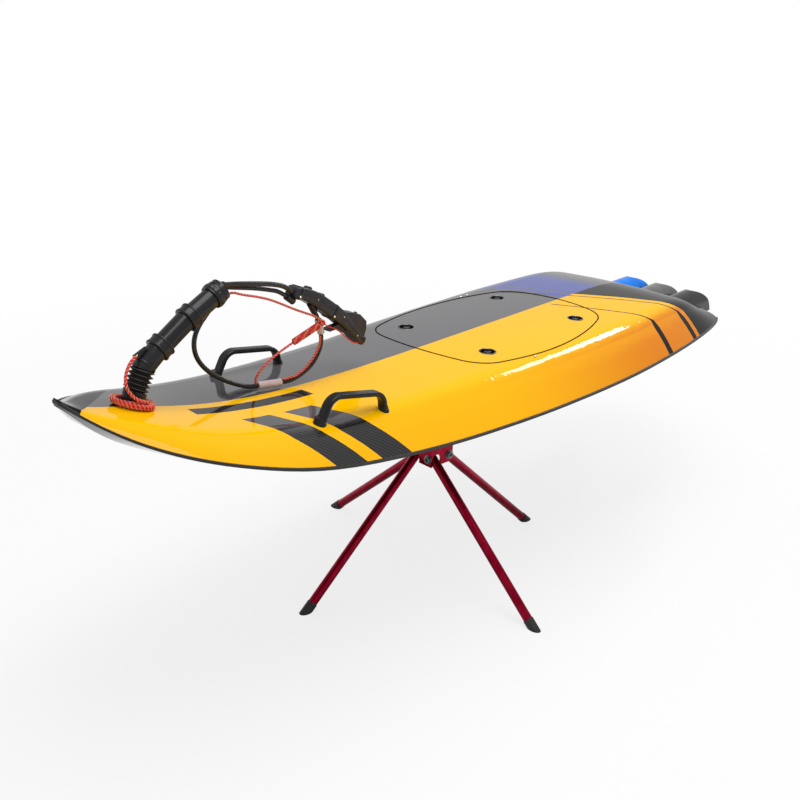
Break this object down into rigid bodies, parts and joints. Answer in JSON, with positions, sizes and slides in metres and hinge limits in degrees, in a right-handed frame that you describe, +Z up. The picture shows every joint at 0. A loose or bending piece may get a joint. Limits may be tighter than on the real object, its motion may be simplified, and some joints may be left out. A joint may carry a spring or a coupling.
{
  "type": "jetboard on a display stand",
  "caption": "Motor jetboard with a water-jet drive, engine bay hatch, flexible steering stem and throttle grip, held on a crossed-leg display stand.",
  "frame": {"origin": "on the floor, under the middle of the whole length", "axes": "+X to the nose, +Y to port, +Z up"},
  "size_m": [1.98, 0.7054, 0.7814],
  "materials": {
    "deck_yellow": "high gloss moulding",
    "hull_black": "high gloss moulding",
    "rail_black": "satin edge moulding",
    "trim_black": "satin",
    "soft_black": "matt",
    "engine_grey": "cast",
    "pump_metal": "machined",
    "stand_red": "red anodised",
    "bolt_steel": "zinc plated",
    "rope_red": "braided",
    "sleeve_clear": "translucent",
    "cowl_blue": "gloss",
    "tank_white": "moulded"
  },
  "bodies": {
    "board": {"deck": "deck_yellow", "hull_bottom": "hull_black", "rail_edge": "rail_black", "hatch_seal": "soft_black", "tail_cowl_port": "hull_black", "tail_cowl_centre": "trim_black", "tail_cowl_starboard": "cowl_blue", "grab_handle_port": "trim_black", "grab_handle_starboard": "trim_black", "intake_duct": "hull_black", "pump_tunnel": "hull_black", "intake_grille": "pump_metal", "grille_bars": "pump_metal", "pump_housing": "pump_metal", "stator": "pump_metal", "jet_nozzle": "pump_metal", "engine_block": "engine_grey", "fuel_tank": "tank_white", "stem_foot": "trim_black", "foot_rope_coil": "rope_red", "stand_hub": "stand_red", "hub_bolts": "bolt_steel", "stand_leg_1": "stand_red", "stand_leg_2": "stand_red", "stand_leg_3": "stand_red", "stand_leg_4": "stand_red", "stand_feet": "soft_black", "stand_pads": "soft_black"},
    "hatch": {"hatch_lid": "deck_yellow", "hatch_latches": "trim_black"},
    "jet_rotor": {"impeller": "bolt_steel"},
    "stem": {"stem_tube": "trim_black", "stem_bellows": "soft_black", "stem_collars": "trim_black", "stem_cap": "trim_black", "stem_eyelet": "bolt_steel", "grip_body": "trim_black", "grip_pod": "trim_black", "grip_trigger": "trim_black", "control_cable": "soft_black", "throttle_cable": "soft_black", "loop_cable_1": "soft_black", "loop_cable_2": "soft_black", "loop_cable_3": "soft_black", "loop_sleeves": "sleeve_clear", "leash_1": "rope_red", "leash_2": "rope_red", "leash_3": "rope_red", "leash_knot": "rope_red", "foot_rope": "rope_red"}
  },
  "joints": [
    {"name": "hatch_lift", "type": "slide", "parent": "board", "child": "hatch", "axis": [0, 0, 1], "range_m": [0, 0.2]},
    {"name": "rotor_spin", "type": "hinge", "parent": "board", "child": "jet_rotor", "pos_m": [-0.6, 0, 0.448], "axis": [1, 0, 0], "continuous": true},
    {"name": "stem_lean", "type": "hinge", "parent": "board", "child": "stem", "pos_m": [0.842, 0, 0.649], "axis": [0, 1, 0], "range_deg": [0, 60], "deforming": ["stem_bellows", "foot_rope"]}
  ]
}
